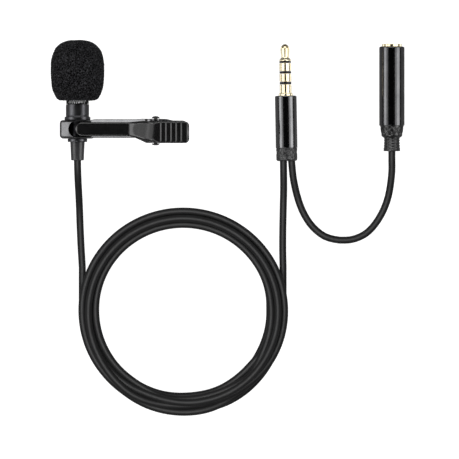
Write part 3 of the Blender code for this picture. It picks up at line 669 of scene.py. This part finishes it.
def make_windscreen(looks):
    """Foam ball with open pores: a fine turned mesh whose points sink where a cell opens."""
    low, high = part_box("windscreen")
    radius = (high.x - low.x) / 2 / MM
    top = high.y / MM
    widest = 8.7
    lower_reach = 10.5
    power = 2.7  # of the superellipse that the outline follows
    cell = 0.62
    fine_cell = 0.31
    lump = 2.2
    bore_r = (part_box("grille_cap")[1].x - MIC.x) / MM + 0.45
    bore_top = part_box("grille_cap")[1].y / MM + 0.5

    def outer(y):
        reach = top - widest if y > widest else lower_reach
        return radius * max(0.0, 1 - (abs(y - widest) / reach) ** power) ** (1 / power)

    heights = [widest + (top - widest) * math.cos(math.radians(a)) for a in np.arange(0, 90, 1.5)]
    heights += list(np.linspace(widest, 0.4, 40))
    skin = [(outer(y), y) for y in heights]
    mouth_r = outer(0.0) - 0.4
    inside = [(mouth_r, 0.0), (bore_r, 0.0), (bore_r, bore_top - 2.0),
              (bore_r - 1.2, bore_top - 0.4), (0.0, bore_top)]
    profile = dense(skin, 0.13) + dense([skin[-1]] + softened(inside, 0.4), 0.2)[1:]
    steps = 400
    foam = turned("foam_windscreen", profile, MIC, ALONG_Y, looks["foam"], steps=steps,
                  smooth_angle=80)
    mesh = foam.data
    places = np.empty(len(mesh.vertices) * 3)
    mesh.vertices.foreach_get("co", places)
    places = places.reshape(-1, 3)
    normals = np.empty(len(mesh.vertices) * 3)
    mesh.vertex_normals.foreach_get("vector", normals)
    normals = normals.reshape(-1, 3)
    openness = np.empty(len(places))
    for k, place in enumerate((places - np.array(MIC)) / MM):
        near = noise.voronoi(Vector(place / cell))[0]
        small = noise.voronoi(Vector(place / fine_cell + 7.0))[0]
        opening = min(1.0, (near[1] - near[0]) / 0.5)
        pit = min(1.0, (small[1] - small[0]) / 0.5)
        openness[k] = 0.75 * opening + 0.25 * pit
        lumps = 0.12 * (noise.noise(Vector(place / lump)) + 0.5)
        places[k] -= normals[k] * (0.30 * opening + 0.10 * pit + lumps - 0.15) * MM
    mesh.vertices.foreach_set("co", places.ravel())
    # the pore depth is kept for the foam's material, which paints shade in the pores from it
    pores = mesh.attributes.new("pore", "FLOAT", "POINT")
    pores.data.foreach_set("value", openness)
    mesh.update()
    dress(foam, "windscreen", "foam", "windscreen")


# ---------------------------------------------------------------- microphone

HEAD_R = 3.40
BAND_TOP = 0.43
BAND_BOTTOM = -1.08
MESH_PERIODS = 34


def make_band(looks):
    """Groove under the head, its core painted near black as shade in the groove, with a woven zigzag of
    bright wire round it.
    """
    core = softened([(HEAD_R - 0.1, BAND_TOP), (HEAD_R - 0.1, BAND_BOTTOM), (2.86, BAND_BOTTOM),
                     (2.86, BAND_BOTTOM - 1.4), (2.57, BAND_BOTTOM - 1.4), (2.57, BAND_TOP)],
                    0.1, closed=True)
    # near-black core: painted shade of the groove behind the wire
    piece = turned("mesh_band_core", core, MIC, ALONG_Y, looks["groove_shade"], closed=True)
    dress(piece, "microphone", "bright_steel", "grille_band")
    centre = (BAND_TOP + BAND_BOTTOM) / 2
    half = (BAND_TOP - BAND_BOTTOM) / 2 - 0.12
    points = []
    count = MESH_PERIODS * 20
    for k in range(count + 1):
        angle = 2 * math.pi * k / count
        phase = MESH_PERIODS * angle
        radius = HEAD_R - 0.04 + 0.03 * math.cos(2 * phase)
        radius -= 0.35 * smooth(abs(math.cos(angle)), 0.70, 0.78)
        sway = half * math.sin(phase)
        points.append(MIC + Vector((radius * math.cos(angle), centre + sway,
                                    radius * math.sin(angle))) * MM)
    wire = tube("mesh_band_wire", points, 0.11 * MM, looks["steel"], 10)
    dress(wire, "microphone", "bright_steel")


def make_head(looks):
    """Woven cap over the capsule, seen when the windscreen is pulled off."""
    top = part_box("grille_cap")[1].y / MM
    dome = 2.0
    outer = [(HEAD_R * math.sin(a), top - dome + dome * math.cos(a))
             for a in np.radians(np.arange(0, 91, 3))]
    rim = [(HEAD_R, 0.55), (2.98, 0.55), (2.98, top - dome)]
    inner = [(2.98 * math.sin(a), top - dome + (dome - 0.35) * math.cos(a))
             for a in np.radians(np.arange(81, -1, -9))]

    def weave(angle, radius, distance):
        if radius < 3.0 or distance < 0.8:
            return 0.0
        across = math.sin(36 * angle + 9 * distance)
        along = math.sin(36 * angle - 9 * distance)
        return -0.11 * max(0.0, across * along)

    profile = dense(outer, 0.09) + dense([outer[-1]] + rim, 0.09)[1:] + inner
    cap = turned("mesh_cap", profile, MIC, ALONG_Y, looks["steel"], steps=288, relief=weave,
                 smooth_angle=60)
    dress(cap, "microphone", "bright_steel", "grille_cap")


def make_housing(looks):
    """Barrel with its flange and neck, the collar behind the clip, and the cable's sleeve."""
    barrel = softened([
        (HEAD_R, -1.2), (HEAD_R, -4.42), (HEAD_R - 0.08, -4.46), (HEAD_R - 0.08, -4.56),
        (HEAD_R, -4.6), (HEAD_R, -4.85), (3.72, -4.9), (3.8, -5.0), (3.8, -5.8), (2.15, -5.8),
        (2.15, -11.42), (1.7, -11.42), (1.7, -12.24), (1.2, -12.24), (1.2, -4.35), (2.98, -4.35),
        (2.98, -1.2)], 0.12, closed=True)
    piece = turned("housing_barrel", barrel, MIC, ALONG_Y, looks["satin"], closed=True, steps=160)
    dress(piece, "microphone", "satin_black", "mic_housing")
    collar = softened([(2.75, -11.3), (2.87, -11.42), (2.87, -12.12), (2.75, -12.24),
                       (2.2, -12.24), (2.2, -11.3)], 0.1, closed=True)
    piece = turned("neck_collar", collar, MIC, ALONG_Y, looks["satin"], closed=True)
    dress(piece, "microphone", "satin_black", "retaining_collar")
    sleeve = softened([(0.0, -12.26), (2.12, -12.26), (2.0, -14.6), (1.88, -17.53), (1.74, -17.65),
                       (1.05, -17.65), (1.0, -17.5), (0.0, -17.5)], 0.1)
    piece = turned("cable_sleeve", sleeve, MIC, ALONG_Y, looks["sleeve"])
    dress(piece, "microphone", "soft_rubber", "strain_relief")


# ---------------------------------------------------------------- clip

RING_R = 5.1
RING_HALF = 2.7
BAR_HALF = 2.05
BAR_START = -0.5
BAR_BOTTOM = 3.25
BAR_TOP = 5.15
FLARE_START = 15.35
FLARE_END = 23.2
GRIP_TOP = 8.2
GRIP_RISE = 0.5
GRIP_MIDDLE = -0.97
CLIP_END = 32.85
ARM_END = 32.1
PLATE = 1.3
LUG = 0.65
PIN_X = (HINGE.x - CLIP.x) / MM
PIN_Z = (HINGE.z - CLIP.z) / MM
RIBS = 5
RIB_START = 24.55
RIB_PITCH = 1.5
TEETH = 5
TOOTH_START = 6.6
TOOTH_PITCH = 1.3


def rise(share):
    """Share of the lever's climb: steepest where it starts, easing into the grip."""
    return 1 - (1 - min(max(share, 0.0), 1.0)) ** 1.6


def corner_inset(distance, radius):
    """How far an edge has drawn in at a distance from the end of a round-cornered outline."""
    if distance >= radius:
        return 0.0
    return radius - math.sqrt(max(0.0, radius ** 2 - (radius - distance) ** 2))


def slab_section(x, y0, y1, z0, z1, edge, top=None, bottom=None):
    """Round-edged rectangle at one x; top and bottom give changes of height across it."""
    edge = min(edge, 0.49 * (y1 - y0), 0.49 * (z1 - z0))
    across = 24
    flat = list(np.linspace(y0 + edge, y1 - edge, across))
    under = [bottom(y) if bottom else 0.0 for y in flat]
    over = [top(y) if top else 0.0 for y in flat]
    ring = [(y, z0 + change) for y, change in zip(flat, under)]
    ring += arc(y1 - edge, z0 + edge + under[-1], edge, -72, 0, 4)
    ring += arc(y1 - edge, z1 - edge + over[-1], edge, 0, 72, 4)
    ring += [(y, z1 + change) for y, change in zip(flat[::-1], over[::-1])]
    ring += arc(y0 + edge, z1 - edge + over[0], edge, 108, 180, 4)
    ring += arc(y0 + edge, z0 + edge + under[0], edge, 180, 252, 4)
    return [clip_place(x, y, z) for y, z in ring]


def smooth(value, start, end):
    """0 before start, 1 after end, and a smooth step between them."""
    t = min(max((value - start) / (end - start), 0.0), 1.0)
    return t * t * (3 - 2 * t)


def tooth_depth(x):
    """Depth of the grooves between the jaw's teeth, in both halves of the clip."""
    away = min(abs(x - TOOTH_START - TOOTH_PITCH * k) for k in range(TEETH))
    return 0.25 * (1 - smooth(away, 0.2, 0.34))


def rib_height(x):
    """Height of the ribs across the grip."""
    away = min(abs(x - RIB_START - RIB_PITCH * k) for k in range(RIBS))
    return 0.11 * (1 - smooth(away, 0.0, 0.21))


def lever_section(x):
    """Outline across the front lever at one x."""
    low = np.interp(x, [FLARE_START, 19.65, 22.0, 23.4], [-BAR_HALF, -3.45, -3.75, -4.15])
    high = np.interp(x, [FLARE_START, 19.4, 22.4, CLIP_END], [BAR_HALF, 2.45, 2.15, 2.2])
    round_in = max(corner_inset(x - BAR_START, 1.9), corner_inset(CLIP_END - x, 1.3))
    share = (x - FLARE_START) / (FLARE_END - FLARE_START)
    beyond = max(0.0, x - FLARE_END) / (CLIP_END - FLARE_END)
    top = BAR_TOP + (GRIP_TOP - BAR_TOP) * rise(share) + GRIP_RISE * beyond
    lag = (x - 0.5 - FLARE_START) / (FLARE_END - FLARE_START)
    under = BAR_BOTTOM + (GRIP_TOP - PLATE - 0.4 - BAR_BOTTOM) * rise(lag)
    under += (GRIP_RISE + 0.4) * beyond
    tip_in = max(corner_inset(x - BAR_START, 0.3), corner_inset(CLIP_END - x, 0.3),
                 0.55 * (0.5 - x + BAR_START), 0.55 * (0.75 - CLIP_END + x))
    dish = 0.38 * smooth(share, 0.0, 0.5)
    edge = np.interp(x, [14.8, 17.5, 22.0, 24.0], [0.5, 0.95, 0.95, 0.45])
    rib = rib_height(x)
    tooth = tooth_depth(x)
    low += round_in
    high -= round_in
    centre = (low + high) / 2
    half = (high - low) / 2

    def on_top(y):
        across = (y - centre) / half
        ribbed = rib * (1 - smooth(abs(y - GRIP_MIDDLE), 2.6, 2.85))
        return ribbed - dish * max(0.0, 1 - across ** 2)

    return slab_section(x, low, high, under + tip_in, top - tip_in, edge, on_top, lambda y: tooth)


def stations(*runs):
    """Places along the clip from (start, end, spacing) runs that follow each other."""
    places = [runs[0][0]]
    for start, end, spacing in runs:
        count = math.ceil((end - start) / spacing)
        places += [start + (end - start) * (k + 1) / count for k in range(count)]
    return places


def make_lever(looks):
    """Front lever: bar, flare and ribbed grip, with two lugs round the pin."""
    along = stations((BAR_START + 0.002, BAR_START + 0.3, 0.03), (BAR_START + 0.3, 1.6, 0.12),
                     (1.6, 6.2, 0.6), (6.2, 12.4, 0.07), (12.4, FLARE_START, 0.5),
                     (FLARE_START, 24.0, 0.16), (24.0, CLIP_END - 1.3, 0.06),
                     (CLIP_END - 1.3, CLIP_END - 0.3, 0.08), (CLIP_END - 0.3, CLIP_END - 0.002, 0.03))
    lever = loft("front_lever", [lever_section(x) for x in along], looks["clip"])
    outline = [(PIN_X + 2.4, PIN_Z + 3.2), (PIN_X - 2.0, PIN_Z + 2.6)]
    outline += arc(PIN_X, PIN_Z, 1.3, 180, 360, 24)
    for y in (1.825, -2.725):
        lug = plate("lever_lug", outline, y, LUG, looks["clip"])
        carve(lug, pin_hole(looks))
        carve(lever, lug, "UNION")
    finish_carved(lever)
    dress(lever, "lever", "gloss_black", "clip_lever")


def pin_hole(looks):
    hole = [(0.0, -8.0), (0.7, -8.0), (0.7, 8.0), (0.0, 8.0)]
    return turned("pin_hole", hole, HINGE, ALONG_Y, looks["clip"], steps=48)


def finish_carved(piece):
    piece.data.shade_smooth()
    piece.data.set_sharp_from_angle(angle=math.radians(32))


def arm_section(x):
    """Outline across the clip's body at one x."""
    low = np.interp(x, [2.0, 5.0, 17.0, 20.2, 26.0, 28.0], [-2.3, -2.5, -2.5, -4.0, -4.0, -3.55])
    high = np.interp(x, [4.0, 5.2, 17.0, 19.0, 26.0, 28.0], [2.7, 2.95, 2.95, 3.1, 3.1, 2.65])
    top = np.interp(x, [2.0, 19.8, 20.6, 23.6, 32.1], [2.95, 2.95, 1.95, 1.75, -2.45])
    under = np.interp(x, [2.0, 17.5, 20.0, 23.2, 31.6], [-0.1, -0.1, 0.6, 0.6, -3.5])
    round_in = corner_inset(ARM_END - x, 1.3)
    tip_in = corner_inset(ARM_END - x, 0.45)
    tooth = tooth_depth(x)

    def on_top(y):
        sloped = 0.5 * max(0.0, abs(y) - 1.8)
        return -sloped - tooth * (1 - smooth(abs(y), 1.65, 1.85))

    return slab_section(x, low + round_in, high - round_in, under + tip_in, top - tip_in, 0.1, on_top)


def make_holder(looks):
    """Clip's body: arm and thumb lever, ring round the microphone's neck, lugs, well and hollow."""
    along = stations((2.6, 6.2, 0.6), (6.2, 12.4, 0.07), (12.4, 17.0, 0.5), (17.0, 24.0, 0.15),
                     (24.0, 30.8, 0.4), (30.8, 31.65, 0.08), (31.65, 32.098, 0.04))
    holder = loft("clip_body", [arm_section(x) for x in along], looks["holder"])
    outline = arc(0, 0, RING_R, -118, 118, 60)
    outline += softened([(-2.5, 4.47), (-4.8, 3.1), (-5.15, 2.4), (-5.15, -2.4), (-4.6, -3.2)], 0.5)
    carve(holder, plate("ring", outline, 0, 2 * RING_HALF, looks["holder"], edge=0.95), "UNION")
    bore = [(0.0, -4.0), (2.45, -4.0), (2.45, 4.0), (0.0, 4.0)]
    carve(holder, turned("ring_bore", bore, CLIP, ALONG_Y, looks["holder"], steps=128))
    outline = [(PIN_X - 1.9, 1.2), (PIN_X + 1.9, 1.2)] + arc(PIN_X, PIN_Z, 1.6, 0, 180, 24)
    for y in (2.725, -3.625):
        carve(holder, plate("holder_lug", outline, y, LUG, looks["holder"]), "UNION")
    carve(holder, pin_hole(looks))
    well = [(0.0, 0.8), (2.15, 0.8), (2.35, 1.0), (2.35, 4.6), (3.2, 8.0), (0.0, 8.0)]
    carve(holder, turned("well", well, clip_place(-0.25, 0, 0), (0, 0, 1), looks["holder"], steps=96))
    carve(holder, block("slot", (4.0, 0, 4.97), (8.0, 4.6, 4.0), looks["holder"]))
    carve(holder, block("hollow", (11.8, 0, -0.6), (11.2, 3.6, 4.6), looks["holder"]))
    finish_carved(holder)
    dress(holder, "clip", "gloss_black", "clip_holder")


def make_pin(looks):
    head = [(0.0, 3.85), (0.5, 3.8), (0.9, 3.65), (1.15, 3.4), (1.15, 3.2), (0.55, 3.2),
            (0.55, -4.2), (1.15, -4.2), (1.15, -4.4), (0.9, -4.62), (0.5, -4.74), (0.0, -4.78)]
    pin = turned("hinge_pin", softened(head, 0.08), HINGE, ALONG_Y, looks["clip"], steps=48)
    dress(pin, "clip", "satin_black", "clip_pin")


def make_spring(looks):
    """Torsion spring round the pin, with one leg on each half of the clip."""
    radius = 1.05
    turns = 4.5
    first_y = 1.1
    last_y = -2.0
    points = [(5.0, first_y, -3.5), (0.9, first_y, -1.2)]
    count = round(turns * 40)
    for k in range(count + 1):
        angle = -math.pi / 2 - 2 * math.pi * turns * k / count
        y = first_y + (last_y - first_y) * k / count
        points.append((radius * math.cos(angle), y, radius * math.sin(angle)))
    points += [(0.9, last_y, 1.15), (4.3, last_y, 2.35)]
    placed = [HINGE + Vector(p) * MM for p in points]
    spring = tube("torsion_spring", placed, 0.225 * MM, looks["steel"])
    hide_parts("clip_spring")
    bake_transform(spring)


# ---------------------------------------------------------------- plug

PIN_R = 1.75


def plug_turned(name, profile, look, slot, node, **options):
    piece = turned(name, profile, PLUG_TIP, PLUG_BACKWARD, look, **options)
    return dress(piece, "microphone", slot, node)


def lattice(angle, distance):
    """Depth of the crossed helical grooves in moulded rubber, as a change of radius."""
    around = 4
    pitch = 4.4
    depth = 0.2
    one = math.sin(around * angle + 2 * math.pi * distance / pitch)
    other = math.sin(around * angle - 2 * math.pi * distance / pitch)
    return -depth * max(abs(one), abs(other)) ** 12


def make_plug(looks):
    """Four-pole plug: contacts and insulators from the tip back, shell and boot."""
    gold = looks["gold"]
    tip = [(0.0, 0.0), (0.3, 0.02), (0.6, 0.16), (0.9, 0.45), (1.18, 0.85), (1.33, 1.3), (1.34, 1.8),
           (1.3, 2.6), (1.17, 3.7), (1.16, 3.95), (1.3, 4.2), (1.62, 4.5), (1.75, 4.7), (1.75, 5.0),
           (0.4, 5.0), (0.4, 17.0), (0.0, 17.0)]
    pieces = [plug_turned("tip_contact", softened(tip, 0.15), gold, "gold_plate", "plug_tip",
                          steps=96)]
    seams = [5.06, 5.54, 5.66, 7.89, 8.01, 8.64, 8.76, 11.04, 11.16, 11.84]
    names = ["plug_insulator_1", "plug_ring_1", "plug_insulator_2", "plug_ring_2",
             "plug_insulator_3"]
    for k, node in enumerate(names):
        start, end = seams[2 * k:2 * k + 2]
        insulator = "insulator" in node
        radius = PIN_R - (0.03 if insulator else 0.0)
        profile = softened([(radius, start), (radius, end), (0.7, end), (0.7, start)], 0.06,
                           closed=True)
        look = looks["plastic"] if insulator else gold
        slot = "black_plastic" if insulator else "gold_plate"
        pieces.append(plug_turned(node.replace("plug", "pole"), profile, look, slot, node,
                                  closed=True, steps=96))
    sleeve = [(PIN_R, 11.96), (PIN_R, 14.45), (1.98, 14.5), (2.06, 14.6), (2.06, 18.0), (0.7, 18.0),
              (0.7, 11.96)]
    pieces.append(plug_turned("sleeve_contact", softened(sleeve, 0.06, closed=True), gold,
                              "gold_plate", "plug_sleeve", closed=True, steps=96))
    shell = [(2.95, 15.2), (3.2, 15.4), (3.2, 30.6), (2.26, 30.6), (2.26, 15.2)]
    pieces.append(plug_turned("plug_barrel", softened(shell, 0.15, closed=True), looks["gloss"],
                              "gloss_black", "plug_shell", closed=True, steps=160))
    boot = [(2.06, 30.63), (3.1, 30.63)] + arc(2.5, 33.8, 0.6, 0, 90, 8)
    boot = dense(softened(boot, 0.12), 0.12) + [(0.0, 34.4)]
    boot = [(0.0, 27.0), (2.0, 27.0), (2.06, 27.1)] + boot

    def crossed(angle, radius, distance):
        inside = smooth(distance, 30.9, 31.2) * (1 - smooth(distance, 33.5, 33.9))
        return inside * lattice(angle, distance)

    pieces.append(plug_turned("cable_boot", boot, looks["boot"], "soft_rubber", "plug_boot",
                              steps=192, relief=crossed))
    return pieces


# ---------------------------------------------------------------- socket

def socket_turned(name, profile, look, slot, node, **options):
    piece = turned(name, profile, SOCKET, ALONG_Y, look, **options)
    return dress(piece, "microphone", slot, node)


def make_socket(looks):
    """Socket's bushing, shell and moulded tail with its ridged neck."""
    bushing = [(2.83, 16.62), (2.93, 16.5), (2.93, 12.5), (1.8, 12.5), (1.8, 16.4), (2.0, 16.62)]
    pieces = [socket_turned("gold_bushing", softened(bushing, 0.08, closed=True), looks["gold"],
                            "gold_plate", "socket_bushing", closed=True, steps=128)]
    shell = [(3.45, 15.88), (3.73, 15.62), (3.73, -7.4), (3.08, -7.4), (3.08, 15.88)]
    pieces.append(socket_turned("socket_barrel", softened(shell, 0.16, closed=True),
                                looks["gloss_socket"], "gloss_black", "socket_shell",
                                closed=True, steps=160))
    cone = [(3.45, -7.43), (3.42, -7.9), (3.1, -10.2), (2.98, -10.5), (2.6, -10.8), (2.32, -10.95)]
    cone = dense(softened(cone, 0.15), 0.1)
    neck = dense([(2.32, -10.95), (2.38, -13.0), (2.5, -14.6), (2.42, -14.8), (2.25, -14.9)], 0.07)
    profile = [(0.0, -5.0), (2.8, -5.0), (2.88, -5.1), (2.88, -7.43)] + cone + neck[1:]
    profile += [(1.05, -14.9), (1.0, -14.7), (0.0, -14.7)]

    def moulded(angle, radius, distance):
        if distance > -7.6 or radius < 1.5:
            return 0.0
        if distance > -10.6:
            inside = smooth(-distance, 7.7, 8.0) * (1 - smooth(-distance, 9.9, 10.2))
            return inside * lattice(angle, distance)
        inside = smooth(-distance, 11.1, 11.4) * (1 - smooth(-distance, 14.3, 14.6))
        return -inside * 0.16 * (0.5 + 0.5 * math.cos(2 * math.pi * (distance + 11.3) / 0.8))

    pieces.append(socket_turned("socket_boot", profile, looks["tail"], "soft_rubber",
                                "socket_tail", steps=192, relief=moulded))
    return pieces


# ---------------------------------------------------------------- pieces kept from the CAD model

INNER_LOOKS = {
    "capsule": "steel", "capsule_gasket": "rubber", "capsule_felt": "felt",
    "capsule_board": "board", "signal_wire": "copper", "ground_wire": "copper",
    "plug_terminal_block": "plastic", "socket_moulding": "plastic",
    "socket_contact_sleeve": "gold", "socket_contact_ring_2": "gold",
    "socket_contact_ring_1": "gold", "socket_contact_tip": "gold"}


def dress_inner_pieces(looks):
    """The capsule, wires and contacts keep their CAD shape and get their own materials."""
    for node, look in INNER_LOOKS.items():
        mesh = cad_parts[node].data
        mesh.materials.clear()
        mesh.materials.append(looks[look])


make_camera()
looks = make_looks()
make_windscreen(looks)
make_band(looks)
make_head(looks)
make_housing(looks)
make_lever(looks)
make_holder(looks)
make_pin(looks)
make_spring(looks)
on_plug = make_plug(looks)
on_socket = make_socket(looks)
dress_inner_pieces(looks)
make_cords(looks["rubber"])
make_floor()
make_lights()
make_world()
bpy.context.scene.view_settings.view_transform = "Standard"
